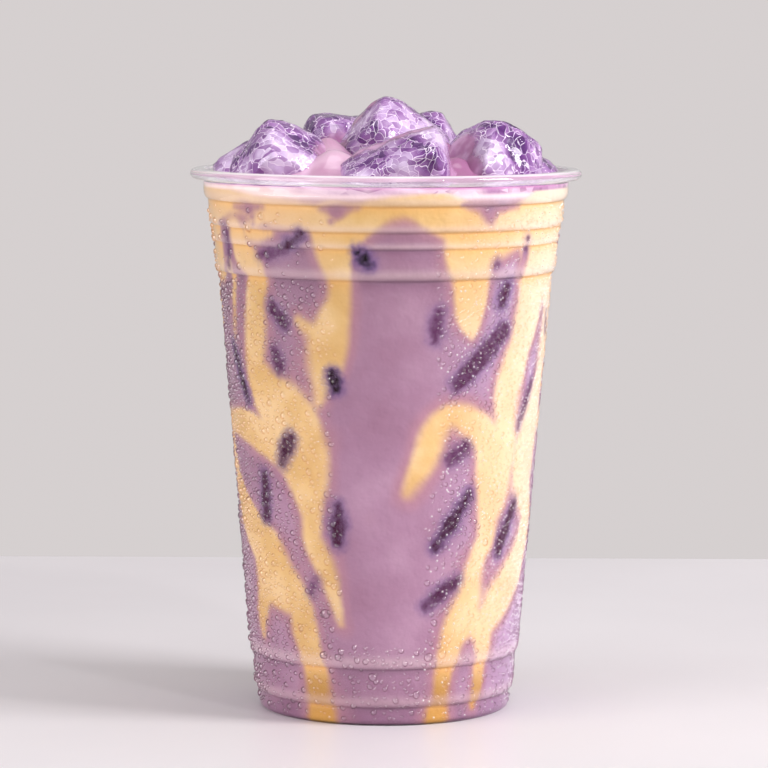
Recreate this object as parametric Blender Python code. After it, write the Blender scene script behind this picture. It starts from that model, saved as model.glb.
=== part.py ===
"""Iced milk tea in a clear cold cup with a flanged rim, heaped with half-melted ice.

Metres, +Z up. The origin is the centre of the ring that the cup stands on, and the
front of the drink faces -Y. The values below are millimetres and degrees.
"""

import math
import random

import bmesh
import bpy
from mathutils import Euler, Vector, noise

MM = 0.001

# Cup: each step of the wall is (radius, height) at its foot and at its shoulder.
WALL = 0.75
FOOT_RADIUS = 31.6
FOOT_RING_INNER = 28.4
FOOT_RING_OUTER = 30.5
PUSH_UP = 2.2
FLOOR_TOP = PUSH_UP + WALL
WALL_STEPS = (
    (31.5, 4.7, 32.54, 7.4),
    (33.0, 14.4, 33.92, 17.6),
    (41.45, 110.1, 42.55, 112.7),
    (42.86, 117.7, 43.22, 119.1),
    (43.4, 121.7, 44.12, 123.4),
    (44.5, 128.0, 45.56, 130.3),
)
STEP_POINTS = 2
RIM_UNDERSIDE = 132.9
RIM_TOP = 135.4
RIM_TIP_RADIUS = 48.9
SIDES = 56

# Gap that separates pieces which touch in the real drink, and the room round the ice.
GAP = 0.3
ICE_ROOM = 0.45

# Drink: level at the wall, and the slush that the ice holds up in the middle.
LEVEL = 132.3
MOUND_RISE = 5.0
SURFACE_RINGS = (39.5, 33.5, 27.5, 21.0, 14.0, 7.0)
SURFACE_SWELL = 0.5
SURFACE_SWELL_SCALE = 9.0
# Hummocks of milky slush between the ice: x, y, rise and spread.
HUMMOCKS = (
    (-13.0, -20.0, 4.5, 6.5),
    (-15.0, -8.0, 6.5, 6.0),
    (17.5, -21.0, 3.5, 5.5),
    (14.5, -9.0, 6.0, 5.0),
    (-24.0, 12.0, 2.5, 7.0),
    (22.0, 8.0, 2.5, 7.0),
    (0.0, 24.0, 2.0, 7.0),
)

# Ice: centre, size and turn of each cube.
ICE = (
    ((-25.8, -14.0, 135.2), (20.9, 19.6, 21.2), (38.0, 24.0, 20.0)),
    ((4.2, -27.8, 132.8), (26.0, 18.2, 21.4), (30.0, -24.0, -12.0)),
    ((26.4, -13.4, 135.6), (20.4, 19.4, 20.6), (-24.0, 28.0, 32.0)),
    ((1.6, -0.6, 138.0), (25.2, 22.0, 23.8), (38.0, 34.0, 4.0)),
    ((-35.2, 4.4, 134.4), (15.0, 12.4, 11.0), (8.0, -30.0, 8.0)),
    ((34.9, 5.4, 134.0), (14.8, 12.4, 11.0), (8.0, 30.0, -8.0)),
    ((-12.0, 23.8, 138.2), (19.5, 17.8, 19.6), (12.0, 10.0, 18.0)),
    ((10.2, 24.8, 137.0), (17.3, 17.6, 19.6), (28.0, -14.0, -12.0)),
    ((-29.8, 20.6, 132.6), (10.2, 10.2, 13.6), (24.0, 18.0, 44.0)),
    ((27.8, 21.6, 132.4), (11.8, 11.8, 13.8), (-18.0, 24.0, 40.0)),
)
ICE_SQUARENESS = 5.2
ICE_WAVE = 0.045
ICE_WAVE_SCALE = 1.1
ICE_TAPER = 0.12
ICE_CUTS = 3


def material(name, colour, roughness, metallic=0.0, transmission=0.0):
    """A material with one Principled shader."""
    made = bpy.data.materials.new(name)
    made.use_nodes = True
    made.diffuse_color = (*colour, 1.0)
    shader = made.node_tree.nodes["Principled BSDF"]
    shader.inputs["Base Color"].default_value = (*colour, 1.0)
    shader.inputs["Roughness"].default_value = roughness
    shader.inputs["Metallic"].default_value = metallic
    shader.inputs["Transmission Weight"].default_value = transmission
    return made


def add_object(name, bm, look, smooth_angle=35.0):
    """Turn a bmesh into an object of the scene, with faces out and round faces smooth."""
    bmesh.ops.recalc_face_normals(bm, faces=bm.faces)
    mesh = bpy.data.meshes.new(name)
    bm.to_mesh(mesh)
    bm.free()
    mesh.materials.append(look)
    mesh.shade_smooth()
    mesh.set_sharp_from_angle(angle=math.radians(smooth_angle))
    made = bpy.data.objects.new(name, mesh)
    bpy.context.scene.collection.objects.link(made)
    return made


def step_profile(step):
    """Points of one step of the wall: a crease at its foot, a round shoulder above it."""
    foot_radius, foot_height, top_radius, top_height = step
    points = []
    for index in range(STEP_POINTS + 1):
        turn = math.radians(90.0 * index / STEP_POINTS)
        radius = foot_radius + (top_radius - foot_radius) * math.sin(turn)
        height = foot_height + (top_height - foot_height) * (1.0 - math.cos(turn))
        points.append((radius, height))
    return points


def wall_profile():
    """Outer side of the wall from the foot up to the rim, as (radius, height)."""
    points = []
    for step in WALL_STEPS:
        points += step_profile(step)
    return points


def outer_radius(height):
    """Outer radius of the wall at a height."""
    points = wall_profile()
    if height <= points[0][1]:
        return points[0][0]
    for (low_radius, low), (high_radius, high) in zip(points, points[1:]):
        if height <= high:
            share = (height - low) / (high - low)
            return low_radius + (high_radius - low_radius) * share
    return points[-1][0]


def inner_radius(height):
    """Inner radius of the wall at a height."""
    return outer_radius(height) - WALL


def turned_mesh(profile):
    """Closed mesh turned about Z from a profile that starts and ends on the axis."""
    bm = bmesh.new()
    verts = [bm.verts.new((radius * MM, 0.0, height * MM)) for radius, height in profile]
    edges = [bm.edges.new(pair) for pair in zip(verts, verts[1:])]
    bmesh.ops.spin(bm, geom=verts + edges, axis=(0.0, 0.0, 1.0), cent=(0.0, 0.0, 0.0),
                   angle=math.tau, steps=SIDES, use_merge=True)
    bmesh.ops.remove_doubles(bm, verts=bm.verts, dist=0.001 * MM)
    return bm


def rim_profile():
    """The flanged rim, from its underside over the tip and back to the inner wall."""
    neck = WALL_STEPS[-1][2]
    middle = (RIM_TOP + RIM_UNDERSIDE) / 2.0
    half = (RIM_TOP - RIM_UNDERSIDE) / 2.0
    tip_round = 1.3
    tip_centre = RIM_TIP_RADIUS - tip_round
    points = [(neck, RIM_UNDERSIDE - 0.5), (neck + 0.5, RIM_UNDERSIDE)]
    for turn in (-90.0, -50.0, -15.0, 25.0, 60.0, 90.0):
        angle = math.radians(turn)
        points.append((tip_centre + tip_round * math.cos(angle), middle + half * math.sin(angle)))
    inner = neck - WALL
    points += [(inner + 0.9, RIM_TOP), (inner + 0.2, RIM_TOP - 0.5), (inner, RIM_TOP - 1.3)]
    return points


def floor_profile(clear):
    """Inside of the floor and of the hollow foot ring, a clearance off the sheet it is made of."""
    brink = FOOT_RING_INNER - 0.9 + clear
    channel = FOOT_RING_INNER + 0.7 + clear
    outer = WALL_STEPS[0][0] - WALL - clear
    bend = 0.5
    return [(brink, FLOOR_TOP + clear), (channel, WALL + clear), (outer - bend, WALL + clear),
            (outer, WALL + bend + clear)]


def make_cup(look):
    """The cup: pushed-up base, foot, stepped wall and flanged rim."""
    wall = wall_profile()
    outside = [(0.0, PUSH_UP), (FOOT_RING_INNER - 1.2, PUSH_UP), (FOOT_RING_INNER - 0.4, 1.0),
               (FOOT_RING_INNER, 0.0), (FOOT_RING_OUTER, 0.0), (FOOT_RADIUS - 0.3, 0.45),
               (FOOT_RADIUS, 1.3)]
    inside = [(radius - WALL, height) for radius, height in reversed(wall)]
    floor = [*reversed(floor_profile(0.0)), (0.0, FLOOR_TOP)]
    return add_object("cup", turned_mesh(outside + wall + rim_profile() + inside + floor), look)


def surface_height(x, y):
    """Height of the drink's top: level at the wall, heaped with slush in the middle."""
    edge = inner_radius(LEVEL) - GAP
    inward = max(0.0, 1.0 - (math.hypot(x, y) / edge) ** 2)
    height = LEVEL + MOUND_RISE * inward
    for centre_x, centre_y, rise, spread in HUMMOCKS:
        away = math.hypot(x - centre_x, y - centre_y) / spread
        height += rise * math.exp(-away * away)
    swell = noise.noise(Vector((x, y, 4.0)) / SURFACE_SWELL_SCALE)
    return height + SURFACE_SWELL * swell * min(1.0, 6.0 * inward)


def make_drink(look):
    """The drink: it fills the cup, and its top heaps up between the ice."""
    wall = [(radius - WALL - GAP, height) for radius, height in wall_profile()]
    rise = [(0.0, FLOOR_TOP + GAP), *floor_profile(GAP)]
    top = [(wall[-1][0], LEVEL)] + [(radius, LEVEL + 1.0) for radius in SURFACE_RINGS]
    bm = turned_mesh(rise + wall + top + [(0.0, LEVEL + 1.0)])
    for vert in bm.verts:
        if vert.co.z > (LEVEL + 0.5) * MM:
            vert.co.z = surface_height(vert.co.x / MM, vert.co.y / MM) * MM
    return add_object("milk_tea", bm, look)


def ice_mesh(size, seed, extra=0.0):
    """Half melted cube: rounded corners, a slight taper and wavy sides."""
    draw = random.Random(seed)
    lean = [draw.uniform(-ICE_TAPER, ICE_TAPER) for _ in range(4)]
    offset = Vector([draw.uniform(0.0, 50.0) for _ in range(3)])
    bm = bmesh.new()
    bmesh.ops.create_cube(bm, size=2.0)
    bmesh.ops.subdivide_edges(bm, edges=bm.edges, cuts=ICE_CUTS, use_grid_fill=True)
    for vert in bm.verts:
        x, y, z = vert.co
        span = (abs(x) ** ICE_SQUARENESS + abs(y) ** ICE_SQUARENESS
                + abs(z) ** ICE_SQUARENESS) ** (1.0 / ICE_SQUARENESS)
        x, y, z = x / span, y / span, z / span
        x, y = x * (1.0 + lean[0] * z), y * (1.0 + lean[1] * z)
        z *= 1.0 + lean[2] * x + lean[3] * y
        wave = noise.noise(Vector((x, y, z)) * ICE_WAVE_SCALE + offset)
        swell = 1.0 + 2.0 * ICE_WAVE * wave
        vert.co = Vector((x * size[0], y * size[1], z * size[2])) * (0.5 * swell * MM)
    if extra:
        bm.normal_update()
        for vert, normal in [(vert, vert.normal.copy()) for vert in bm.verts]:
            vert.co += normal * extra * MM
    return bm


def place_ice(piece, centre, turn):
    """Put a piece of ice at its place in the heap."""
    piece.location = Vector(centre) * MM
    piece.rotation_euler = Euler([math.radians(value) for value in turn])


def cut_out(target, cutter):
    """Leave a cutter as a hidden guide and take its shape out of the target."""
    cutter.hide_render = True
    cutter.display_type = "WIRE"
    room = target.modifiers.new(cutter.name, "BOOLEAN")
    room.operation = "DIFFERENCE"
    room.solver = "EXACT"
    room.object = cutter


def make_ice(drink, look):
    """The heap of ice: each cube is its own piece and sits in a pocket of the drink."""
    for index, (centre, size, turn) in enumerate(ICE, start=1):
        piece = add_object(f"ice_{index:02d}", ice_mesh(size, index), look, 60.0)
        place_ice(piece, centre, turn)
        pocket = add_object(f"ice_{index:02d}_pocket", ice_mesh(size, index, ICE_ROOM), look, 60.0)
        place_ice(pocket, centre, turn)
        cut_out(drink, pocket)


def main():
    """Build the cup, the drink and the ice."""
    for leftover in list(bpy.data.objects):
        bpy.data.objects.remove(leftover, do_unlink=True)
    clear_plastic = material("clear_plastic", (0.93, 0.94, 0.95), 0.05, transmission=0.9)
    milk = material("taro_milk", (0.52, 0.33, 0.50), 0.35)
    ice = material("tinted_ice", (0.55, 0.38, 0.70), 0.1, transmission=0.6)
    make_cup(clear_plastic)
    drink = make_drink(milk)
    make_ice(drink, ice)


main()
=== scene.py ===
"""Looks of the iced milk tea: stepped clear cup, streaked lilac milk, cracked ice, condensation.

Metres, +Z up, the front of the drink faces -Y. The values below are millimetres and
degrees unless they say otherwise. An angle round the cup is counted from the front
towards +X, so (30, 100) is a place 30 degrees to the right and 100 mm up.
"""

import math
import random

import bmesh
import bpy
import numpy as np
from mathutils import Matrix, Vector, noise

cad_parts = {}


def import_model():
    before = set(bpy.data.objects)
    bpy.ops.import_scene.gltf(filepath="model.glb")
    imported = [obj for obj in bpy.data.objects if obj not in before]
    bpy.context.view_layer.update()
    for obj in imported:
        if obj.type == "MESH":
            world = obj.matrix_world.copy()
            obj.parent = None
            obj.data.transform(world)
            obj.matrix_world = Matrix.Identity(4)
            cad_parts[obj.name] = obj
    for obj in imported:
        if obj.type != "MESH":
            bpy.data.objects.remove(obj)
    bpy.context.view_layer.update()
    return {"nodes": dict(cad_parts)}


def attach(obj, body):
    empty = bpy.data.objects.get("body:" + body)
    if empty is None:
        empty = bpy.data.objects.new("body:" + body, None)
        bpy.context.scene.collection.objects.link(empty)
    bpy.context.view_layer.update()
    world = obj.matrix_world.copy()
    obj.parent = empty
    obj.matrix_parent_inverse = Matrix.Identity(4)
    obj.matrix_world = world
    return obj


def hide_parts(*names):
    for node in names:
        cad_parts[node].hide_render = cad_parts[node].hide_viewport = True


MM = 0.001

# Cup, as in the solids: each step of the wall is (radius, height) at its foot and shoulder.
WALL = 0.75
FOOT_RADIUS = 31.6
FOOT_RING_INNER = 28.4
FOOT_RING_OUTER = 30.5
PUSH_UP = 2.2
FLOOR_TOP = PUSH_UP + WALL
WALL_STEPS = (
    (31.5, 4.7, 32.54, 7.4),
    (33.0, 14.4, 33.92, 17.6),
    (41.45, 110.1, 42.55, 112.7),
    (42.86, 117.7, 43.22, 119.1),
    (43.4, 121.7, 44.12, 123.4),
    (44.5, 128.0, 45.56, 130.3),
)
STEP_POINTS = 7
RIM_UNDERSIDE = 132.9
RIM_TOP = 135.4
RIM_TIP_RADIUS = 48.84
RIM_TIP_ROUND = 1.3
CUP_SIDES = 180
SHARP_ANGLE = 50.0
# Its other outlines, as (radius, height). Those of the rim are counted from the neck's
# outside and the rim's underside, and from the inside of the wall and the rim's top.
HUB = 0.5
UNDERSIDE = ((HUB, PUSH_UP), (FOOT_RING_INNER - 1.2, PUSH_UP), (FOOT_RING_INNER - 0.4, 1.0),
             (FOOT_RING_INNER, 0.0), (FOOT_RING_OUTER, 0.0), (FOOT_RADIUS - 0.3, 0.45),
             (FOOT_RADIUS, 1.3))
FLOOR_BRINK = 0.9
CHANNEL_INSET = 0.7
CHANNEL_BEND = 0.5
NECK = WALL_STEPS[-1][2]
RIM_ROOT = ((0.0, -0.5), (0.15, -0.15), (0.5, 0.0))
RIM_MOUTH = ((0.9, 0.0), (0.45, -0.1), (0.15, -0.45), (0.0, -1.3))
RIM_LOOK_FROM = RIM_UNDERSIDE - 0.2

# Drink: it reaches this far into the wall, so that no air shows between the two.
INTO_WALL = 0.1
LEVEL = 132.3
MOUND_RISE = 5.0
SURFACE_SWELL = 0.5
SURFACE_SWELL_SCALE = 9.0
SWELL_FADE = 6.0
# Heaps of slush on its top: (x, y, rise, spread).
HUMMOCKS = (
    (-13, -20, 4.5, 6.5), (-15, -8, 6.5, 6), (17.5, -21, 3.5, 5.5), (14.5, -9, 6, 5), (-24, 12, 2.5, 7),
    (22, 8, 2.5, 7), (0, 24, 2, 7),
)
DRINK_SIDES = 372
DRINK_PITCH = 0.66
TOP_RINGS = 36

# Runs of sauce down the inside of the wall: (angle, height, half width) along each.
BAND = (
    (-96, 127, 5), (-71, 128, 5), (-54, 128.5, 3), (-40, 127, 2.6), (-28, 125, 2.6), (-16, 125, 3),
    (-4, 127, 2.8), (8, 127.5, 2.6), (20, 125, 4.6), (33, 122, 3.6), (46, 123, 5), (60, 125, 8),
    (78, 126, 8), (96, 127, 5),
)
CENTRE_LEFT = (
    (-16.5, 123, 6.6), (-17, 117.5, 4.8), (-16, 111, 3.1), (-16, 105.5, 2.9), (-18.5, 99.5, 4.3),
    (-21, 93, 5.2), (-22, 88, 3.9), (-23.5, 83.5, 2.1), (-24.5, 80.5, 1.1),
)
CENTRE_LEFT_SPUR = ((-22, 96.5, 1.6), (-27.5, 98, 1.6), (-31.5, 100, 1.1))
LONG_LEFT = (
    (-58.5, 121, 3.6), (-56, 116.5, 3.7), (-49.5, 112, 3.6), (-51.5, 104.5, 3.7), (-53, 96, 4.2),
    (-54, 88, 4), (-47, 81, 6.4), (-37, 76.5, 6.9), (-33, 70.5, 6.8), (-31.5, 64, 6.6),
    (-30.5, 58, 4.6), (-29.5, 51.5, 2.8), (-29.5, 46, 2.6), (-27.5, 43.5, 2.8), (-23, 37.5, 2.4),
    (-20, 30.5, 1.4), (-18, 25.5, 0.6),
)
LEFT_ROOT = ((-96, 73, 2.5), (-80, 73, 2.8), (-63, 72.5, 4.2), (-49, 69.5, 4.3), (-39, 66, 3.9))
LOW_LEFT = (
    (-85, 72, 3), (-82, 62, 3), (-76, 55.5, 3.6), (-69, 49.5, 5.2), (-62, 45.5, 5.6), (-55, 42, 6.4),
    (-51, 36, 7.1), (-44.5, 33, 5.8), (-38, 30, 3.8), (-35, 23, 3.7), (-33, 18, 3.3), (-31, 12.5, 3.2),
    (-30, 7.5, 3.4), (-29.5, 1, 4),
)
LOW_LEFT_FORK = ((-57.5, 32, 3.5), (-60.5, 28, 2.7), (-62, 24, 2), (-62, 20.5, 0.9))
DRIP_RIGHT = (
    (30, 121.5, 7.4), (29, 116, 6.7), (30, 111.5, 5.1), (30.5, 106.5, 4.7), (30.5, 101.5, 3.7),
    (31, 98.5, 2.3), (31.5, 96.5, 0.9),
)
LONG_RIGHT = (
    (61, 120.5, 7.8), (60.5, 113.5, 6.6), (62.5, 106.5, 6.6), (60, 99, 5.9), (56.5, 93, 4.8),
    (54, 88.5, 5.1), (51, 82, 5), (51, 76, 4.1), (51.5, 70.5, 4.6), (48, 66.5, 6.5), (46.5, 63, 6.4),
    (46.5, 57, 5.4), (44.5, 51, 3.4), (43.5, 45.5, 3), (41, 43, 2.7), (38, 37, 2.9), (36, 30, 4),
    (33.5, 26, 4.5), (29.5, 21, 3.4), (27.5, 16.5, 2.8), (26.5, 12.5, 2.4), (25.5, 7.5, 2.2),
    (24.5, 1.5, 3.1),
)
ARCH = (
    (8.5, 58.5, 1.2), (12, 63, 2.5), (15.5, 67.5, 3.3), (18.5, 73.5, 3.3), (24, 77, 2.9), (31, 76, 3.5),
    (40.5, 71, 4.3), (45.5, 66.5, 4.7),
)
RIGHT_SIDE = (
    (70, 120.5, 9), (76, 113, 7.5), (84, 102.5, 7), (82, 93, 6), (77.5, 83.5, 4.4), (73.5, 77.5, 5.4),
    (69.5, 71.5, 6.7), (67.5, 65, 6.6), (68, 57, 5.4), (74, 51.5, 4.2), (75, 45.5, 4.9),
    (70.5, 41.5, 4.5), (65.5, 36.5, 5.4), (60.5, 33.5, 5.3), (55.5, 30.5, 5.5), (50.5, 27, 4.5),
    (44, 23.5, 3.2),
)
RIGHT_FORK = (
    (39, 26, 2.6), (45, 22.5, 2.7), (46.5, 18.5, 2.6), (46, 15, 1.9), (45.5, 10, 1.8), (44.5, 6, 1.4),
    (44.5, 3.5, 0.7),
)
LEFT_EDGE = ((-80, 124, 7), (-80, 118.5, 7), (-79, 114, 6.5))
LEFT_THREAD = ((-66, 112, 2), (-64.5, 109, 1.1), (-66, 104.5, 1), (-67, 100, 0.9), (-68.5, 94.5, 0.6))
LEFT_SHOULDER = (
    (-90, 130.5, 1.6), (-78.5, 130.5, 1.7), (-65, 130, 1.8), (-54, 129, 1.8), (-41.5, 128.5, 1.5),
    (-31, 128, 1.5), (-25, 127.5, 1.2),
)
LEFT_PATCH = ((-50, 121, 2.4), (-45.5, 120.5, 1.7), (-41, 121, 1))
LEFT_FILL = ((-46, 124, 1.6), (-42, 126, 2.7), (-36.5, 126, 3.2), (-30.5, 126, 3.2), (-25.5, 125, 2.7))
CENTRE_SHOULDER = (
    (-4.5, 128.5, 1.3), (0, 129, 1.6), (6, 129.5, 1.8), (13.5, 130, 1.8), (19, 130, 1.6),
    (23, 129, 1.3),
)
DOME_LEFT = ((-9, 122, 2.5), (-6, 124, 2.5), (-2, 126, 2.2), (2, 128, 1.7))
RIGHT_SHOULDER = ((49, 128, 1.2), (54, 129.5, 1.7), (60.5, 130.5, 2), (68.5, 130.5, 2), (90, 130.5, 1.6))
RIGHT_TOP = ((37, 116.5, 2.2), (41.5, 117.5, 2.2), (46.5, 118.5, 1.7))
SAUCE_RUNS = (BAND, CENTRE_LEFT, CENTRE_LEFT_SPUR, LONG_LEFT, LEFT_ROOT, LOW_LEFT, LOW_LEFT_FORK,
              DRIP_RIGHT, LONG_RIGHT, ARCH, RIGHT_SIDE, RIGHT_FORK, LEFT_EDGE, LEFT_THREAD, LEFT_SHOULDER,
              LEFT_PATCH, LEFT_FILL, CENTRE_SHOULDER, DOME_LEFT, RIGHT_SHOULDER, RIGHT_TOP)

# Gaps in the sauce under the top crease, where the milk shows: same values as a run.
WEDGE = ((-56.5, 127, 0.7), (-49.5, 127, 1.2), (-43, 127.5, 0.7))
WEDGE_TIP = ((-49, 126.5, 1.6), (-48, 125, 1.1), (-47.5, 123, 0.6))
NOTCH = ((-20.5, 127.5, 0.8), (-14.5, 127.5, 1.3), (-9, 128, 0.7))
NOTCH_TIP = ((-15.5, 127, 2.1), (-16.5, 125.5, 1.3), (-17.5, 124.5, 0.8))
RIGHT_NOTCH = ((25, 128.5, 1), (35, 128, 2), (46, 128, 1))
RIGHT_NOTCH_TIP = ((34.5, 127, 2.6), (35, 125, 1.6), (35.5, 124, 0.8))
SIDE_GAP = ((53, 117, 1), (53, 115, 1.6), (51.5, 112.5, 1.6), (52, 110, 1.2))
SLIVER = ((-63.5, 121.5, 0.6), (-65, 118, 0.9), (-66.5, 114, 0.9), (-69, 111.5, 0.8))
SAUCE_GAPS = (WEDGE, WEDGE_TIP, NOTCH, NOTCH_TIP, RIGHT_NOTCH, RIGHT_NOTCH_TIP, SIDE_GAP, SLIVER)

# Dark pieces sunk against the wall: angle and height of both ends, half width, darkness.
SUNK = (
    (-46, 115.5, -34.5, 117, 1.2, 0.42), (-35.5, 117, -28.5, 121, 1.1, 0.8),
    (-9, 117, -6, 114, 1.5, 1.0), (-43, 103, -37, 99, 1.5, 0.6), (-42.5, 92, -41, 88, 1.5, 0.5),
    (-19, 87.2, -18, 83.6, 1.35, 0.95), (-42.5, 65, -37.5, 71, 1.7, 0.75),
    (-53, 61, -53.5, 50.5, 1.5, 0.7), (-18, 54.5, -19, 46, 1.5, 0.75),
    (-70.5, 92.5, -60.5, 79, 1, 0.85), (18.5, 102.5, 17.5, 95.5, 1.5, 0.55),
    (44, 103.5, 46, 108, 1.5, 0.75), (27, 85, 46, 97.5, 2.2, 0.6), (80, 100, 82.5, 95, 0.7, 0.6),
    (25, 66.5, 31, 69, 1.7, 0.5), (20.5, 45, 34, 57, 1.5, 0.8), (51.5, 42, 60.5, 53.5, 1.5, 0.75),
    (17, 30, 30, 36, 1.5, 0.65), (59.5, 73, 67.5, 83.5, 1, 0.55), (53, 117, 53.5, 119.5, 0.6, 0.6),
    (39, 113.5, 39.5, 114, 0.6, 0.6), (-64.5, 122, -65.5, 112.5, 0.7, 0.45),
    (-31.5, 33, -28.5, 36.5, 0.9, 0.35),
)
SUNK_BULGE = (0.35, math.pi - 0.5)
# How runs become distances, and how much painted shade the creases and the foot put on the drink.
RUN_SPACING = 1.0
THINNEST_RUN = 0.2
FIELD_REACH = 8.0
SEARCH_REACH = 14.0
JOIN_SOFTNESS = 0.7
CREASE_FADE = 1.3
CREASE_EDGE = 0.3
FOOT_SHADE = 0.45
FOOT_SHADE_FADE = 0.6

# Ice: the clear shell follows the solid, and the cracked core lies a little inside it.
ICE_VOXEL = 0.75
ICE_RELIEF = 0.35
ICE_CORE_DEPTH = 0.65
CORE_NOISE_SHIFT = Vector((7.0, 3.0, 1.0))
CRACK_SCALE = 0.48
# Milk that has run over the ice: (x, y, z, radius) of each patch, and how high it laps the foot.
FILM_PATCHES = (
    (14.5, -19, 142, 8.5), (18, -25, 137, 6), (-14, -16, 138, 6), (-12, 10, 138.5, 7.5),
    (-12.5, -5, 141, 4.5), (16.5, -31, 135, 4), (13, 12, 140, 6), (-7, -25.5, 141, 4),
    (-2, -27, 143, 4.2), (3, -28, 145, 4.2), (8, -28.5, 146.6, 3.6), (-8, -1, 148, 3.4),
    (-3.5, -1.5, 152, 3),
)
FILM_FOOT = 134.6
# Where the cracked ice shows pale, and where it shows deep purple: (x, y, z, radius). A patch
# is full out to 0.6 of its radius and gone at 1.4 of it.
PATCH_PEAK = 1.8
PATCH_SLOPE = 1.3
PALE_PATCHES = (
    (-27, -24, 138.5, 5.2), (-34, -20, 137, 4), (-39, 0, 139, 5), (3, -12, 146, 4.5), (10, -9, 145, 4),
    (-8, -38, 138, 3.6), (4, -38, 139.5, 4.5), (13.5, -33, 140.5, 5), (24, -24, 141.5, 5.5),
    (28, -25, 138, 4), (-13, 13, 146, 3),
)
DEEP_PATCHES = (
    (-33, -19, 142, 4.5), (-18, -18, 141, 4), (-11, -10, 143, 4), (-4, -12, 145, 4),
    (-7, -36, 140.5, 3.4), (-1, -36, 142, 3.4), (5, -35, 143, 3), (33, -20, 141, 4.5),
    (27, -18, 147, 4), (37, 2, 139, 3.5), (-18, 17, 147, 6), (14, 19, 149, 4.5),
)

# Condensation. The front is bare for this many degrees to each side, down to the height where
# the strip ends. The sides and back have more beads, the steps at the top and the foot fewer.
BEAD_SEED = 5
BEAD_TRIES = 60000
BEAD_HEIGHTS = (1.5, 127.0)
BEAD_CLEARANCE = 0.08
BEAD_CELL = 1.8
BEAD_CHANCE = 0.6
BEAD_PATCHINESS = 0.5
BEAD_PATCH_SIZE = (9.0, 11.0)
SIDE_BEADS = 0.45
SIDES_FROM = 35.0
SIDES_FADE = 40.0
BARE_STRIP = 17.0
STRIP_SWAY = 3.0
STRIP_SWAY_SIZE = 12.0
STRIP_FADE = 6.0
STRIP_END = 20.0
UPPER_STEPS = 109.0
UPPER_BEADS = 0.07
UPPER_RIGHT_BEADS = 0.3
FOOT_STEP = 15.0
FOOT_BEADS = 0.35
# Radii: the smallest and the spread on the left, how much less each is on the right, and the
# radii that part the fine beads from the coarse and the mist from the fine.
BEAD_SMALLEST = 0.32
BEAD_SMALLEST_DROP = 0.12
BEAD_SPREAD = 0.68
BEAD_SPREAD_DROP = 0.3
FINE_BEAD = 0.4
MIST_BEAD = 0.25
# Shape of a bead: its rise and length by its radius, and how far its foot is let into the wall.
BEAD_RISE = (0.6, 0.8)
BEAD_STRETCH = (0.95, 1.25)
BEAD_UPPER_HALF = 0.92
BEAD_WOBBLE = 0.08
BEAD_SINK = 0.04
STEEPEST = 0.5
# Large drops near the foot and on the upper steps: (angle, height, radius).
DROPS = (
    (-24.5, 28, 1.15), (-26, 17.6, 1), (-19.5, 17.3, 0.8), (-5, 12.5, 0.95), (18.6, 17.4, 1),
    (24.8, 17.9, 1), (20.5, 26, 0.9), (14, 8, 0.9), (-36.5, 24, 0.85), (-20.5, 35, 0.8), (17, 36, 0.8),
    (43, 45, 0.9), (33, 127, 0.6), (37, 126, 0.5), (44, 123, 0.7), (48, 122.5, 0.5), (35, 124.5, 0.5),
    (30, 118, 0.6), (31.5, 119.5, 0.5), (27, 121.5, 0.4),
)

# Looks. A colour is linear red, green and blue, and a ramp's stops are (place, colour).
# A place across the front is measured to the right of the middle.
WHITE = (1.0, 1.0, 1.0)
PLASTIC_CLEAR = (0.985, 0.985, 0.99)
# The rim's white is a painted sheen for the lights' reflection, with a painted highlight along its top
# edge.
PLASTIC_PAINTED_SHEEN = (0.95, 0.94, 0.95)
WALL_REFRACTION = 1.33
RIM_REFRACTION = 1.5
RIM_PAINTED_SHEEN = 0.24
LIP_PAINTED_HIGHLIGHT = 0.4

CREAM = ((0.36, (0.72, 0.46, 0.19)), (0.52, (0.78, 0.53, 0.25)), (0.7, (0.84, 0.61, 0.35)))
# Painted light: the cream paler where the key light falls, and paler still as a painted sheen towards the
# right edge.
CREAM_LIT = (0.85, 0.66, 0.53)
CREAM_PAINTED_SHEEN = (0.93, 0.8, 0.66)
CREAM_UPPER_LEFT = (0.88, 0.62, 0.42)
# Painted shade: the cream by the foot and in the creases.
CREAM_FOOT_SHADE = (0.5, 0.25, 0.03)
CREAM_CREASE_SHADE = (0.92, 0.5, 0.13)
CREAM_MARGIN = (0.44, 0.225, 0.3)
LILAC = ((0.3, (0.37, 0.195, 0.29)), (0.52, (0.42, 0.235, 0.345)), (0.72, (0.48, 0.285, 0.4)))
# Painted light: the lilac paler where the key light falls.
LILAC_LIT = (0.52, 0.36, 0.56)
# Painted shade under the creases, and painted shade over the lilac higher up.
LILAC_CREASE_SHADE = (0.19, 0.075, 0.16)
LILAC_PAINTED_HIGHER_SHADE = (0.93, 0.92, 0.93)
# Painted highlight on the step shoulders.
SHOULDER_PAINTED_HIGHLIGHT = (0.9, 0.72, 0.72)
UPPER_SHADE = (0.87, 0.87, 0.84)
# Painted shade by the foot.
FOOT_PAINTED_SHADE = (0.9, 0.86, 0.88)
FROTH = ((0.3, (0.4, 0.4, 0.4)), (0.7, (0.62, 0.62, 0.62)))
SUNK_BLUR = (0.18, 0.1, 0.25)
SUNK_PLUM = ((0.4, (0.13, 0.04, 0.12)), (0.75, (0.06, 0.006, 0.036)), (1.0, (0.004, 0.001, 0.002)))
SLUSH_CELLS = ((0.05, (0.27, 0.11, 0.24)), (0.3, (0.46, 0.26, 0.42)), (0.95, (0.7, 0.52, 0.62)))
SLUSH_PALE = (0.78, 0.6, 0.68)
SLUSH_FOOT = (0.8, 0.62, 0.66)
SLUSH_CREAMY = (0.93, 0.74, 0.69)
HEAP_DEEP = (0.56, 0.29, 0.45)
HEAP_PALE = (0.72, 0.45, 0.61)
HEAP_RIGHT = (0.42, 0.155, 0.33)

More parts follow.
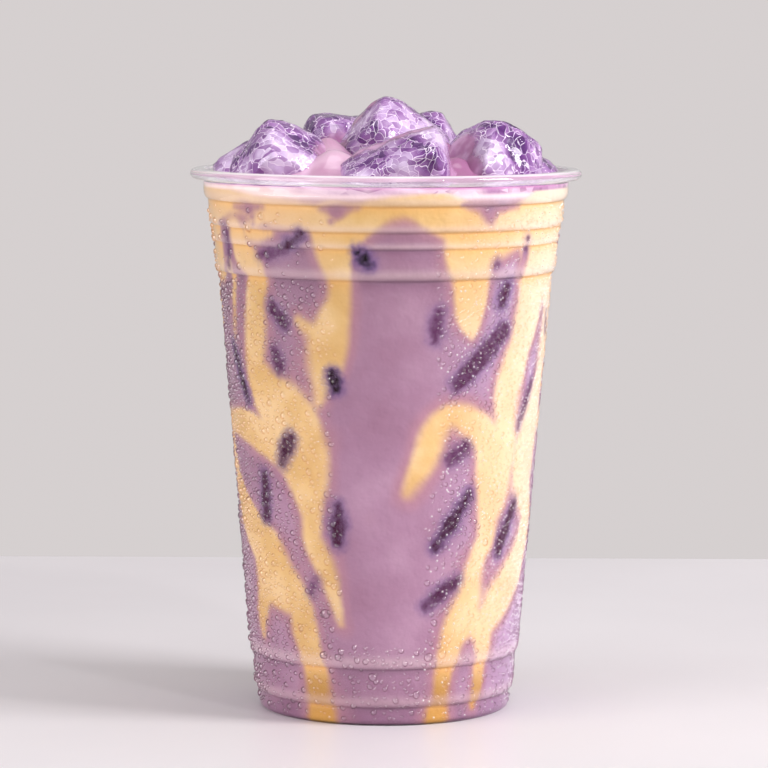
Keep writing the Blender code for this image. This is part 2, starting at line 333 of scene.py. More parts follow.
# Where those colours begin and are full: places across the front, then heights.
KEY_SIDE = (8, 42)
# Where the painted sheen on the cream begins and is full.
PAINTED_SHEEN_SIDE = (28, 43)
PEACH_SIDE = (-6, -28)
CREAMY_SIDE = (-12, -34)
HEAP_RIGHT_SIDE = (4, 18)
# Heights of the painted shade by the foot, and of the painted shade higher up the lilac.
FOOT_SHADE_HEIGHTS = (17, 6)
HIGHER_SHADE_HEIGHTS = (30, 90)
UPPER_SHADE_HEIGHTS = (60, 126)
PEACH_HEIGHTS = (106, 120)
SLUSH_HEIGHTS = (130.7, 131.6)
SLUSH_HEIGHTS_BARE = (129, 130.4)
SLUSH_FOOT_HEIGHTS = (131.4, 130.3)
HEAP_HEIGHTS = (131.8, 132.6)

ICE_REFRACTION = 1.31
ICE_CLEAR = (0.99, 0.95, 1.0)
ICE_EDGE = (0.84, 0.62, 0.86)
ICE_SHADOW = (0.96, 0.91, 0.97)
FILM_DEEP = (0.46, 0.2, 0.38)
FILM_PALE = (0.62, 0.36, 0.56)
ICE_CELLS = ((0.14, (0.065, 0.012, 0.11)), (0.34, (0.17, 0.055, 0.23)), (0.5, (0.3, 0.155, 0.355)),
             (0.66, (0.45, 0.33, 0.51)), (0.9, (0.68, 0.6, 0.73)))
CRACK_WHITE = (0.96, 0.92, 0.96)
CRACK_BEND = 8.0
CRACK_BEND_SCALE = 0.15
CELL_LEAN = 0.4
WATER_REFRACTION = 1.33
# Painted shade for the dark outlines at the beads' edges, over the milk and over the sauce.
WATER_EDGE_SHADE_ON_MILK = (0.2, 0.045, 0.115)
WATER_EDGE_SHADE_ON_SAUCE = (0.76, 0.42, 0.19)
WATER_SHADOW = (0.93, 0.9, 0.92)
# Painted glint: the white of the smallest beads.
MIST_PAINTED_GLINT = (1.0, 0.97, 0.98)
MIST_SHADOW = (0.96, 0.94, 0.95)
TABLE = ((0.3, (0.81, 0.77, 0.8)), (0.7, (0.85, 0.81, 0.84)))

# Stage, in metres, degrees and watts. A light is (name, place, size, power).
FLOOR_WIDTH = 3.0
FLOOR_FRONT = -1.5
FLOOR_BACK = 0.245
WALL_GREY = (0.67, 0.63, 0.63)
ROOM_LIGHT = (0.42, 0.4, 0.4)
LIGHT_AIM = (0.0, 0.0, 0.07)
LIGHTS = (
    ("key", (0.88, -0.3, 0.66), (0.35, 0.4), 9.4),
    ("fill", (-0.9, -0.52, 0.3), (0.8, 0.8), 6.6),
    ("top", (0.1, 0.0, 0.95), (0.7, 0.5), 1.5),
    ("glints", (0.5, -0.7, 0.7), (0.05, 0.05), 1.2),
)
LENS_MM = 168.75
SENSOR_MM = 36.0
CAMERA_PLACE = (-0.0003, -0.9, 0.1734)
CAMERA_PITCH = 84.15
CAMERA_ROLL = 0.22


# ---- nodes

def tree_of(name):
    """A new material and its node tree, with the Principled shader in it."""
    made = bpy.data.materials.new(name)
    made.use_nodes = True
    return made, made.node_tree, made.node_tree.nodes["Principled BSDF"]


def plug(tree, node, inputs):
    """Link or set inputs of a node, by label or number; a colour comes without its alpha."""
    for key, value in inputs.items():
        socket = node.inputs[key]
        if isinstance(value, bpy.types.NodeSocket):
            tree.links.new(value, socket)
        else:
            socket.default_value = (*value, 1.0) if socket.type == "RGBA" else value


def add_node(tree, kind, inputs, **settings):
    """Add a node, set its properties, then link or set its inputs."""
    made = tree.nodes.new("ShaderNode" + kind)
    for key, value in settings.items():
        setattr(made, key, value)
    plug(tree, made, inputs)
    return made


def maths(tree, operation, first, second=0.0, third=0.0):
    """Output of a Math node."""
    inputs = {0: first, 1: second, 2: third}
    return add_node(tree, "Math", inputs, operation=operation).outputs[0]


def times(tree, first, second):
    """One value times another."""
    return maths(tree, "MULTIPLY", first, second)


def mixed(tree, share, first, second, blend="MIX"):
    """Output of a colour mix."""
    inputs = {0: share, 6: first, 7: second}
    return add_node(tree, "Mix", inputs, data_type="RGBA", blend_type=blend).outputs[2]


def eased(tree, value, low, high):
    """0 at low, 1 at high and beyond, smooth in between; low may be the larger."""
    inputs = {0: value, 1: low, 2: high}
    return add_node(tree, "MapRange", inputs, interpolation_type="SMOOTHSTEP").outputs[0]


def ramp(tree, value, stops):
    """Colour of a ramp with the given (place, colour) stops."""
    made = add_node(tree, "ValToRGB", {"Fac": value})
    bar = made.color_ramp
    while len(bar.elements) < len(stops):
        bar.elements.new(1.0)
    for element, (place, colour) in zip(bar.elements, stops):
        element.position = place
        element.color = (*colour, 1.0)
    return made.outputs[0]


def own_place(tree):
    """Object coordinates, which are the frame's own metres."""
    found = tree.nodes.get("Texture Coordinate") or tree.nodes.new("ShaderNodeTexCoord")
    return found.outputs["Object"]


def grain(tree, scale, detail=2.0, roughness=0.5):
    """Noise value at a scale given in cells per millimetre."""
    inputs = {"Vector": own_place(tree), "Scale": scale / MM, "Detail": detail, "Roughness": roughness}
    return add_node(tree, "TexNoise", inputs).outputs[0]


def bumped(tree, height, strength, distance):
    """Normal bent by a height; the distance is in millimetres."""
    inputs = {"Height": height, "Strength": strength, "Distance": distance * MM}
    return add_node(tree, "Bump", inputs).outputs[0]


def across(tree, low, high):
    """0 at one place across the front and 1 at the other."""
    sideways = add_node(tree, "SeparateXYZ", {"Vector": own_place(tree)}).outputs[0]
    return eased(tree, sideways, low * MM, high * MM)


def upward(tree, low, high):
    """0 at one height and 1 at the other."""
    height = add_node(tree, "SeparateXYZ", {"Vector": own_place(tree)}).outputs[2]
    return eased(tree, times(tree, height, 1.0 / MM), low, high)


def field_value(tree, name):
    """A value kept on the mesh's vertices."""
    return add_node(tree, "Attribute", {}, attribute_name=name).outputs["Fac"]


def shaken(tree, value, *waves):
    """A distance with noise added: each wave is (cells per millimetre, millimetres)."""
    for scale, reach in waves:
        wave = maths(tree, "MULTIPLY_ADD", grain(tree, scale), 2.0 * reach, -reach)
        value = maths(tree, "ADD", value, wave)
    return value


def blended(tree, share, first, second):
    """Output of a mix of two shaders."""
    return add_node(tree, "MixShader", {0: share, 1: first, 2: second}).outputs[0]


def show(tree, shader, shadow_tint):
    """Show a clear shader, which lets light through and so doesn't darken what it covers."""
    in_shadow = add_node(tree, "LightPath", {}).outputs["Is Shadow Ray"]
    through = add_node(tree, "BsdfTransparent", {"Color": shadow_tint}).outputs[0]
    both = blended(tree, in_shadow, shader, through)
    plug(tree, tree.nodes["Material Output"], {"Surface": both})


# ---- meshes

def new_mesh(name, verts, faces):
    """Mesh from places in metres and faces."""
    mesh = bpy.data.meshes.new(name)
    mesh.from_pydata(verts, [], faces)
    mesh.update()
    return mesh


def new_object(name, data):
    """A new object in the scene."""
    made = bpy.data.objects.new(name, data)
    bpy.context.scene.collection.objects.link(made)
    return made


def mesh_object(name, mesh, looks, replaced=None):
    """Make an object of the scene from a mesh, riding on the one body."""
    for look in looks:
        mesh.materials.append(look)
    mesh.shade_smooth()
    made = new_object(name, mesh)
    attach(made, "root")
    if replaced:
        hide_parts(replaced)


def vertex_places(mesh):
    """Places of a mesh's vertices in millimetres."""
    return np.array([vert.co[:] for vert in mesh.vertices]) / MM


def keep_fields(mesh, **fields):
    """Keep values for each vertex, which the material reads by their names."""
    for name, values in fields.items():
        field = mesh.attributes.new(name, "FLOAT", "POINT")
        field.data.foreach_set("value", values.astype(np.float32))


def turned(profile, sides):
    """Mesh data of a profile turned about Z: rings of vertices and the faces between them."""
    turns = np.linspace(0.0, math.tau, sides, endpoint=False)
    ring = np.stack([np.sin(turns), -np.cos(turns), np.zeros(sides)], axis=1)
    verts = np.concatenate([ring * radius + (0.0, 0.0, height) for radius, height in profile])
    column = np.arange(sides)
    following = (column + 1) % sides
    faces = []
    for row in range(len(profile) - 1):
        low, high = row * sides, (row + 1) * sides
        faces.append(np.stack([low + column, low + following, high + following, high + column], axis=1))
    return verts, np.concatenate(faces)


def closed_mesh(name, verts, faces, sides, first_height, last_height):
    """Mesh from turned() with a fan of triangles over its first and last ring."""
    count = len(verts)
    verts = np.concatenate([verts, [(0.0, 0.0, first_height), (0.0, 0.0, last_height)]])
    last = count - sides
    fans = [((side + 1) % sides, side, count) for side in range(sides)]
    fans += [(last + side, last + (side + 1) % sides, count + 1) for side in range(sides)]
    return new_mesh(name, (verts * MM).tolist(), faces.tolist() + fans)


# ---- shape of the cup

def step_profile(step):
    """Points of one step of the wall: a crease at its foot, a round shoulder above it."""
    foot_radius, foot_height, top_radius, top_height = step
    points = []
    for index in range(STEP_POINTS + 1):
        turn = math.radians(90.0 * index / STEP_POINTS)
        radius = foot_radius + (top_radius - foot_radius) * math.sin(turn)
        height = foot_height + (top_height - foot_height) * (1.0 - math.cos(turn))
        points.append((radius, height))
    return points


WALL_PROFILE = [point for step in WALL_STEPS for point in step_profile(step)]
WALL_POINTS = np.array(WALL_PROFILE)


def outer_radius(height):
    """Outer radius of the wall at a height, or at an array of heights."""
    return np.interp(height, WALL_POINTS[:, 1], WALL_POINTS[:, 0])


def rim_profile():
    """The flanged rim, from its underside over the tip and back to the inner wall."""
    middle = (RIM_TOP + RIM_UNDERSIDE) / 2.0
    half = (RIM_TOP - RIM_UNDERSIDE) / 2.0
    tip_centre = RIM_TIP_RADIUS - RIM_TIP_ROUND
    points = [(NECK + outward, RIM_UNDERSIDE + rise) for outward, rise in RIM_ROOT]
    for turn in range(-90, 91, 15):
        angle = math.radians(turn)
        points.append((tip_centre + RIM_TIP_ROUND * math.cos(angle), middle + half * math.sin(angle)))
    points += [(NECK - WALL + outward, RIM_TOP + rise) for outward, rise in RIM_MOUTH]
    return points


def floor_profile(clear):
    """Inside of the floor and of the hollow foot ring, a clearance off the sheet it is made of."""
    brink = FOOT_RING_INNER - FLOOR_BRINK + clear
    channel = FOOT_RING_INNER + CHANNEL_INSET + clear
    outer = WALL_STEPS[0][0] - WALL - clear
    return [(brink, FLOOR_TOP + clear), (channel, WALL + clear), (outer - CHANNEL_BEND, WALL + clear),
            (outer, WALL + CHANNEL_BEND + clear)]


def make_cup(wall_look, rim_look):
    """Clear cup with the solid's own profile, turned finer; the rim has its own look."""
    inside = [(radius - WALL, height) for radius, height in reversed(WALL_PROFILE)]
    floor = [*reversed(floor_profile(0.0)), (HUB, FLOOR_TOP)]
    verts, faces = turned([*UNDERSIDE, *WALL_PROFILE, *rim_profile(), *inside, *floor], CUP_SIDES)
    mesh = closed_mesh("cup_wall", verts, faces, CUP_SIDES, PUSH_UP, FLOOR_TOP)
    mesh_object("cup_wall", mesh, [wall_look, rim_look], "cup")
    for face in mesh.polygons:
        if face.center.z > RIM_LOOK_FROM * MM:
            face.material_index = 1
    mesh.set_sharp_from_angle(angle=math.radians(SHARP_ANGLE))


# ---- fields on the drink's side

def on_wall(angle, height):
    """Point of the drink's side at an angle and height."""
    turn = np.radians(angle)
    radius = outer_radius(height) - WALL + INTO_WALL
    return np.stack([radius * np.sin(turn), -radius * np.cos(turn), height + 0.0 * turn], axis=-1)


def smooth_curve(steps, along, values):
    """Values along a run, rounded between its points with Hermite slopes."""
    slopes = np.gradient(values, along)
    index = np.clip(np.searchsorted(along, steps, side="right") - 1, 0, len(along) - 2)
    span = along[index + 1] - along[index]
    t = (steps - along[index]) / span
    t2, t3 = t * t, t * t * t
    return ((2 * t3 - 3 * t2 + 1) * values[index] + (t3 - 2 * t2 + t) * span * slopes[index]
            + (3 * t2 - 2 * t3) * values[index + 1] + (t3 - t2) * span * slopes[index + 1])


def dense_run(run):
    """Points on the wall along a run, about a millimetre apart, and the half width at each."""
    run = np.array(run, dtype=float)
    places = on_wall(run[:, 0], run[:, 1])
    along = np.concatenate([[0.0], np.cumsum(np.linalg.norm(np.diff(places, axis=0), axis=1))])
    steps = np.linspace(0.0, along[-1], max(2, int(along[-1] / RUN_SPACING)))
    angle, height, half = (smooth_curve(steps, along, run[:, k]) for k in range(3))
    return on_wall(angle, height), np.maximum(half, THINNEST_RUN)


def inside_discs(verts, centres, halves):
    """How deep each vertex lies in a row of discs: the largest of half width - distance."""
    depth = np.full(len(verts), -FIELD_REACH)
    low, high = centres.min(axis=0) - SEARCH_REACH, centres.max(axis=0) + SEARCH_REACH
    near = np.flatnonzero(((verts > low) & (verts < high)).all(axis=1))
    for centre, half in zip(centres, halves):
        away = np.linalg.norm(verts[near] - centre, axis=1)
        depth[near] = np.maximum(depth[near], half - away)
    return depth


def turned_round(points):
    """The same points on the far side of the cup."""
    return points * (-1.0, -1.0, 1.0)


def run_depth(verts, runs):
    """Signed distance into a set of runs, rounded where they join; the back is as the front."""
    total = np.zeros(len(verts))
    for run in runs:
        centres, halves = dense_run(run)
        for places in (centres, turned_round(centres)):
            total += np.exp(inside_discs(verts, places, halves) / JOIN_SOFTNESS)
    return JOIN_SOFTNESS * np.log(total)


def sauce_depth(verts):
    """Signed distance into the sauce, less the gaps where the milk shows through it."""
    return np.minimum(run_depth(verts, SAUCE_RUNS), -run_depth(verts, SAUCE_GAPS))


def sunk_fields(verts):
    """Signed distance into the dark sunk pieces, and the darkness of the nearest one."""
    depth = np.full(len(verts), -FIELD_REACH)
    darkness = np.zeros(len(verts))
    for angle, height, end_angle, end_height, half, dark in SUNK:
        centres, halves = dense_run(((angle, height, half), (end_angle, end_height, half)))
        bulge = np.sin(np.linspace(*SUNK_BULGE, len(halves)))
        halves = halves * (0.65 + 0.5 * bulge)
        for places in (centres, turned_round(centres)):
            found = inside_discs(verts, places, halves)
            darkness = np.where(found > depth, dark, darkness)
            depth = np.maximum(depth, found)
    return depth, darkness


def crease_shade(verts):
    """How dark each vertex is for the crease above it: full at the crease, fading downward."""
    shade = np.zeros(len(verts))
    for step in WALL_STEPS:
        below = step[1] - verts[:, 2]
        fading = np.where(below > 0.0, np.exp(-below / CREASE_FADE), np.exp(below / CREASE_EDGE))
        shade = np.maximum(shade, fading)
    foot = np.clip((WALL_STEPS[0][1] - verts[:, 2]) / FOOT_SHADE_FADE, 0.0, 1.0)
    return np.maximum(shade, FOOT_SHADE * foot)


def shoulder_light(verts):
    """How far each vertex lies in the shoulder of a step, where a highlight is painted."""
    light = np.zeros(len(verts))
    for step in WALL_STEPS:
        middle, half = (step[1] + step[3]) / 2.0, (step[3] - step[1]) / 2.0
        away = (verts[:, 2] - middle) / half
        light = np.maximum(light, np.exp(-away * away))
    return light


# ---- the milk tea

def surface_height(x, y):
    """Height of the drink's top: level at the wall, heaped with slush in the middle."""
    edge = NECK - WALL + INTO_WALL
    inward = max(0.0, 1.0 - (math.hypot(x, y) / edge) ** 2)
    height = LEVEL + MOUND_RISE * inward
    for centre_x, centre_y, rise, spread in HUMMOCKS:
        away = math.hypot(x - centre_x, y - centre_y) / spread
        height += rise * math.exp(-away * away)
    swell = noise.noise(Vector((x, y, 4.0)) / SURFACE_SWELL_SCALE)
    return height + SURFACE_SWELL * swell * min(1.0, SWELL_FADE * inward)


def drink_profile():
    """Side of the drink, with points about as far apart as its columns."""
    side = [(radius - WALL + INTO_WALL, height) for radius, height in WALL_PROFILE]
    coarse = floor_profile(-INTO_WALL) + side + [(side[-1][0], LEVEL)]
    points = [coarse[0]]
    for radius, height in coarse[1:]:
        last_radius, last_height = points[-1]
        parts = max(1, round(math.hypot(radius - last_radius, height - last_height) / DRINK_PITCH))
        for part in range(1, parts + 1):
            share = part / parts
            points.append((last_radius + (radius - last_radius) * share,
                           last_height + (height - last_height) * share))
    return points


def make_drink(look):
    """The milk tea with its sauce and sunk pieces, out to just inside the wall."""
    side = drink_profile()
    top = [(side[-1][0] * (1.0 - ring / TOP_RINGS), LEVEL) for ring in range(1, TOP_RINGS)]
    verts, faces = turned(side + top, DRINK_SIDES)
    for index in range(len(side) * DRINK_SIDES, len(verts)):
        verts[index, 2] = surface_height(verts[index, 0], verts[index, 1])
    mesh = closed_mesh("milk", verts, faces, DRINK_SIDES, FLOOR_TOP - INTO_WALL,
                       surface_height(0.0, 0.0))
    places = vertex_places(mesh)
    sunk, darkness = sunk_fields(places)
    keep_fields(mesh, sauce=sauce_depth(places), sunk=sunk, darkness=darkness,
                crease=crease_shade(places), shoulder=shoulder_light(places))
    mesh_object("milk", mesh, [look], "milk_tea")


# ---- ice

def remeshed(source):
    """Even, slightly rounded mesh over a CAD node."""
    probe = new_object("probe", source.data.copy())
    remesh = probe.modifiers.new("even", "REMESH")
    remesh.mode = "VOXEL"
    remesh.voxel_size = ICE_VOXEL * MM
    smooth = probe.modifiers.new("soft", "SMOOTH")
    smooth.factor = 0.5
    smooth.iterations = 4
    graph = bpy.context.evaluated_depsgraph_get()
    mesh = bpy.data.meshes.new_from_object(probe.evaluated_get(graph))
    mesh.materials.clear()
    bpy.data.objects.remove(probe)
    return mesh


def melted_shell(mesh):
    """The mesh with the soft dents of melting ice."""
    shell = bmesh.new()
    shell.from_mesh(mesh)
    shell.normal_update()
    for vert in shell.verts:
        place = vert.co / MM
        dent = noise.noise(place / 5.0) * ICE_RELIEF + noise.noise(place / 1.9) * ICE_RELIEF * 0.35
        vert.co += vert.normal * dent * MM
    return shell


def cracked_core(shell):
    """A copy of the shell a little way inside it, with the second look."""
    core = shell.copy()
    core.normal_update()
    for vert in core.verts:
        place = vert.co / MM
        depth = ICE_CORE_DEPTH * (1.0 + 0.5 * noise.noise(place / 3.0 + CORE_NOISE_SHIFT))
        vert.co -= vert.normal * depth * MM
    for face in core.faces:
        face.material_index = 1
    return core


def film_depth(verts):
    """How far each vertex lies in the film of milk, in millimetres; negative where it is bare."""
    depth = FILM_FOOT - verts[:, 2]
    for x, y, z, radius in FILM_PATCHES:
        depth = np.maximum(depth, radius - np.linalg.norm(verts - (x, y, z), axis=1))
    return depth


def patch_share(verts, patches):
    """How far each vertex lies in any of a set of soft round patches, 0 to 1."""
    share = np.zeros(len(verts))
    for x, y, z, radius in patches:
        away = np.linalg.norm(verts - (x, y, z), axis=1) / radius
        share = np.maximum(share, np.clip(PATCH_PEAK - PATCH_SLOPE * away, 0.0, 1.0))
    return share


def make_ice(source, name, looks):
    """One half-melted cube: a clear shell on the solid's form round a cracked core."""
    mesh = remeshed(source)
    shell = melted_shell(mesh)
    core = cracked_core(shell)
    inner = bpy.data.meshes.new(name + "_core")
    core.to_mesh(inner)
    core.free()
    shell.from_mesh(inner)
    shell.to_mesh(mesh)
    shell.free()
    bpy.data.meshes.remove(inner)
    places = vertex_places(mesh)
    paleness = patch_share(places, PALE_PATCHES) - patch_share(places, DEEP_PATCHES)
    keep_fields(mesh, film=film_depth(places), paleness=paleness)
    mesh_object(name, mesh, looks, source.name)


# ---- condensation

def bead_wanted(angle, height, draw):
    """Whether a bead may sit at a place, at random; beads are thickest at the sides and back."""
    away = abs(angle)
    width, rise = BEAD_PATCH_SIZE
    patchy = noise.noise(Vector((angle / width, height / rise, 3.0)))
    sideness = min(1.0, max(0.0, (away - SIDES_FROM) / SIDES_FADE))
    likely = BEAD_CHANCE + BEAD_PATCHINESS * patchy + SIDE_BEADS * sideness
    if height > UPPER_STEPS:
        likely *= UPPER_BEADS + UPPER_RIGHT_BEADS * max(0.0, math.sin(math.radians(angle)))
    elif height < FOOT_STEP:
        likely *= FOOT_BEADS
    strip = BARE_STRIP + STRIP_SWAY * noise.noise(Vector((height / STRIP_SWAY_SIZE, 0.5, 0.0)))
    if height > STRIP_END:
        likely *= min(1.0, max(0.0, (away - strip) / STRIP_FADE))
    return draw.random() < likely


def bead_radius(angle, draw):
    """Larger beads on the left, finer ones on the right where the key light finds them."""
    rightness = 0.5 + 0.5 * math.sin(math.radians(angle))
    smallest = BEAD_SMALLEST - BEAD_SMALLEST_DROP * rightness
    return smallest + (BEAD_SPREAD - BEAD_SPREAD_DROP * rightness) * draw.random() ** 1.5


def touching(grid, cell, bead):
    """Whether a bead comes too near to one in its own cell of the wall or in a cell beside it."""
    across_wall, height, radius = bead
    near = (item for i in (-1, 0, 1) for j in (-1, 0, 1)
            for item in grid.get((cell[0] + i, cell[1] + j), ()))
    return any(math.hypot(across_wall - x, height - y) < radius + r + BEAD_CLEARANCE for x, y, r in near)


def scattered_beads(draw):
    """(angle, height, radius) of the beads, none touching another."""
    kept, grid = [], {}
    for _ in range(BEAD_TRIES):
        angle, height = draw.uniform(-180.0, 180.0), draw.uniform(*BEAD_HEIGHTS)
        if not bead_wanted(angle, height, draw):
            continue
        radius = bead_radius(angle, draw)
        across_wall = math.radians(angle) * float(outer_radius(height))
        cell = (int(across_wall // BEAD_CELL), int(height // BEAD_CELL))
        if touching(grid, cell, (across_wall, height, radius)):
            continue
        grid.setdefault(cell, []).append((across_wall, height, radius))
        kept.append((angle, height, radius))
    return kept


def wall_frame(angle, height):
    """A point of the wall, and the directions across, up and out of the wall there."""
    turn = math.radians(angle)
    wall = float(outer_radius(height))
    slope = float(outer_radius(height + 0.4) - outer_radius(height - 0.4)) / 0.8
    slope = max(-STEEPEST, min(STEEPEST, slope))
    sideways = Vector((math.cos(turn), math.sin(turn), 0.0))
    up = Vector((math.sin(turn) * slope, -math.cos(turn) * slope, 1.0)).normalized()
    centre = Vector((wall * math.sin(turn), -wall * math.cos(turn), height))
    return centre, sideways, up, sideways.cross(up)


def bead_points(bead, sides, rings, draw):
    """A low dome: its top, then rings down to a foot just under the face of the wall."""
    angle, height, radius = bead
    centre, sideways, up, outward = wall_frame(angle, height)
    rise = radius * draw.uniform(*BEAD_RISE)
    stretch, sway = draw.uniform(*BEAD_STRETCH), draw.uniform(0.0, math.tau)
    points = [centre + outward * rise]
    for ring in range(1, rings + 1):
        tilt = 0.5 * math.pi * ring / rings
        lift = rise * math.cos(tilt) - BEAD_SINK * ring / rings
        for side in range(sides):
            spin = math.tau * side / sides
            reach = radius * math.sin(tilt) * (1.0 + BEAD_WOBBLE * math.cos(2.0 * spin + sway))
            sag = math.sin(spin) * (stretch if math.sin(spin) < 0 else stretch * BEAD_UPPER_HALF)
            points.append(centre + sideways * math.cos(spin) * reach + up * sag * reach
                          + outward * lift)
    return points


def bead_faces(first, sides, rings):
    """Faces of a dome whose top is the vertex called first: a fan, then rows of quads."""
    faces = []
    for side in range(sides):
        after = (side + 1) % sides
        faces.append((first, first + 1 + side, first + 1 + after))
        for ring in range(rings - 1):
            low = first + 1 + ring * sides
            faces.append((low + side, low + sides + side, low + sides + after, low + after))
    return faces


def make_bead_piece(name, beads, sides, rings, draw, look):
    """Low domes of water on the wall, joined in one mesh."""
    verts, faces = [], []
    for bead in beads:
        faces += bead_faces(len(verts), sides, rings)
        verts += bead_points(bead, sides, rings, draw)
    mesh = new_mesh(name, [vert * MM for vert in verts], faces)
    keep_fields(mesh, on_sauce=sauce_depth(np.array(verts)) > 0.0)
    mesh_object(name, mesh, [look])


def make_beads():
    """The condensation: a piece for each size of bead, and one for the large drops."""
    draw = random.Random(BEAD_SEED)
    beads = scattered_beads(draw)
    mist = [bead for bead in beads if bead[2] < MIST_BEAD]
    fine = [bead for bead in beads if MIST_BEAD <= bead[2] < FINE_BEAD]
    coarse = [bead for bead in beads if bead[2] >= FINE_BEAD]
    look = water("water", 1.8)
    make_bead_piece("beads_fine", fine, 8, 2, draw, water("water_fine", 2.3))
    make_bead_piece("beads_coarse", coarse, 10, 2, draw, look)
    make_bead_piece("drops", DROPS, 24, 6, draw, look)
    make_bead_piece("beads_mist", mist, 6, 2, draw, painted_glint_water())


# ---- plastic

def plastic(name, refraction):
    """Thin clear moulded plastic, not yet shown."""
    made, tree, shader = tree_of(name)
    plug(tree, shader, {"Base Color": PLASTIC_CLEAR, "Roughness": 0.03, "IOR": refraction,
                        "Transmission Weight": 1.0,
                        "Normal": bumped(tree, grain(tree, 0.25), 0.04, 0.2)})
    return made, tree, shader


def wall_plastic():
    """Plastic of the wall, thin enough to bend little light."""
    made, tree, shader = plastic("clear_plastic", WALL_REFRACTION)
    show(tree, shader.outputs[0], WHITE)
    return made


def rim_plastic():
    """The rolled rim: the same plastic, with a white painted sheen over it for the lights' reflection and
    a painted highlight along its top edge.
    """
    made, tree, shader = plastic("rim_plastic", RIM_REFRACTION)
    # White painted sheen over the rim, stronger along the top edge as a painted highlight.
    milky = add_node(tree, "BsdfPrincipled", {"Base Color": PLASTIC_PAINTED_SHEEN, "Roughness": 0.15})
    lip = upward(tree, RIM_TOP - 0.6, RIM_TOP - 0.1)
    painted_sheen = maths(tree, "MULTIPLY_ADD", lip, LIP_PAINTED_HIGHLIGHT, RIM_PAINTED_SHEEN)
    show(tree, blended(tree, painted_sheen, shader.outputs[0], milky.outputs[0]), WHITE)
    return made


# ---- look of the drink

def laid(tree, under, over, share, strength):
    """A colour with another laid over it, by a share and a strength."""
    return mixed(tree, times(tree, share, strength), under, over)


def cream_colour(tree):
    """Cream-yellow of the sauce: painted paler where the key light falls, with a painted sheen towards
    the right edge, and painted shade by the foot and in the creases.
    """
    cream = ramp(tree, grain(tree, 0.1), CREAM)
    # Painted light: paler where the key light falls, then a painted sheen towards the right edge.
    cream = laid(tree, cream, CREAM_LIT, across(tree, *KEY_SIDE), 0.65)
    cream = laid(tree, cream, CREAM_PAINTED_SHEEN, across(tree, *PAINTED_SHEEN_SIDE), 0.7)
    peach = times(tree, upward(tree, *PEACH_HEIGHTS), across(tree, *PEACH_SIDE))
    cream = laid(tree, cream, CREAM_UPPER_LEFT, peach, 0.6)
    # Painted shade by the foot and in the creases.
    cream = laid(tree, cream, CREAM_FOOT_SHADE, upward(tree, *FOOT_SHADE_HEIGHTS), 0.85)
    return laid(tree, cream, CREAM_CREASE_SHADE, field_value(tree, "crease"), 0.8)


def sauced(tree, milky):
    """Sauce over the milk, its edge crisp or soft by place, with a pinker margin beside it."""
    depth = shaken(tree, field_value(tree, "sauce"), (0.2, 0.5), (0.6, 0.15))
    crispness = maths(tree, "MULTIPLY_ADD", grain(tree, 0.05), 2.2, -0.25)
    depth = times(tree, depth, crispness)
    margin = mixed(tree, eased(tree, depth, -3.0, -0.6), milky, CREAM_MARGIN)
    return mixed(tree, eased(tree, depth, -1.1, 1.1), margin, cream_colour(tree))


def with_sunk_pieces(tree, colour):
    """Dark jelly pieces seen through a little milk: a blue-violet blur round a plum core."""
    depth = shaken(tree, field_value(tree, "sunk"), (0.25, 1.2), (0.9, 0.8))
    darkness = field_value(tree, "darkness")
    colour = laid(tree, colour, SUNK_BLUR, eased(tree, depth, -2.6, 0.4), darkness)
    mottle = maths(tree, "ADD", grain(tree, 0.7), 0.42)
    core = maths(tree, "MINIMUM", times(tree, eased(tree, depth, -0.9, 1.1), mottle), 1.0)
    return mixed(tree, core, colour, ramp(tree, darkness, SUNK_PLUM))


def slush_colour(tree):
    """Pinkish-white slush, its ice cells showing faintly where it nears the top."""
    flat = add_node(tree, "Mapping", {"Vector": own_place(tree), "Scale": (1.0, 1.0, 1.5)})
    tones = add_node(tree, "TexVoronoi", {"Vector": flat.outputs[0], "Scale": 0.28 / MM})
    tone = add_node(tree, "SeparateColor", {"Color": tones.outputs["Color"]}).outputs[0]
    patchy = eased(tree, grain(tree, 0.07), 0.4, 0.6)
    cell = laid(tree, ramp(tree, tone, SLUSH_CELLS), SLUSH_PALE, patchy, 0.75)
    slush = mixed(tree, upward(tree, *SLUSH_FOOT_HEIGHTS), cell, SLUSH_FOOT)
    return laid(tree, slush, SLUSH_CREAMY, across(tree, *CREAMY_SIDE), 0.8)


def lilac_colour(tree, cloud):
    """Lilac of the milk behind the plastic, with painted shade higher up, painted light where the key
    light falls and painted shade under each crease of the wall.
    """
    lilac = ramp(tree, cloud, LILAC)
    # Painted shade, growing higher up the milk.
    above = upward(tree, *HIGHER_SHADE_HEIGHTS)
    lilac = mixed(tree, above, lilac, LILAC_PAINTED_HIGHER_SHADE, "MULTIPLY")
    # Painted light where the key light falls.
    lilac = laid(tree, lilac, LILAC_LIT, across(tree, *KEY_SIDE), 0.9)
    # Painted shade under each crease.
    return laid(tree, lilac, LILAC_CREASE_SHADE, field_value(tree, "crease"), 0.8)


def heap_colour(tree, cloud):
    """Pink of the open top between the ice, deeper on the right."""
    heap = mixed(tree, eased(tree, cloud, 0.4, 0.6), HEAP_DEEP, HEAP_PALE)
    return mixed(tree, across(tree, *HEAP_RIGHT_SIDE), heap, HEAP_RIGHT)


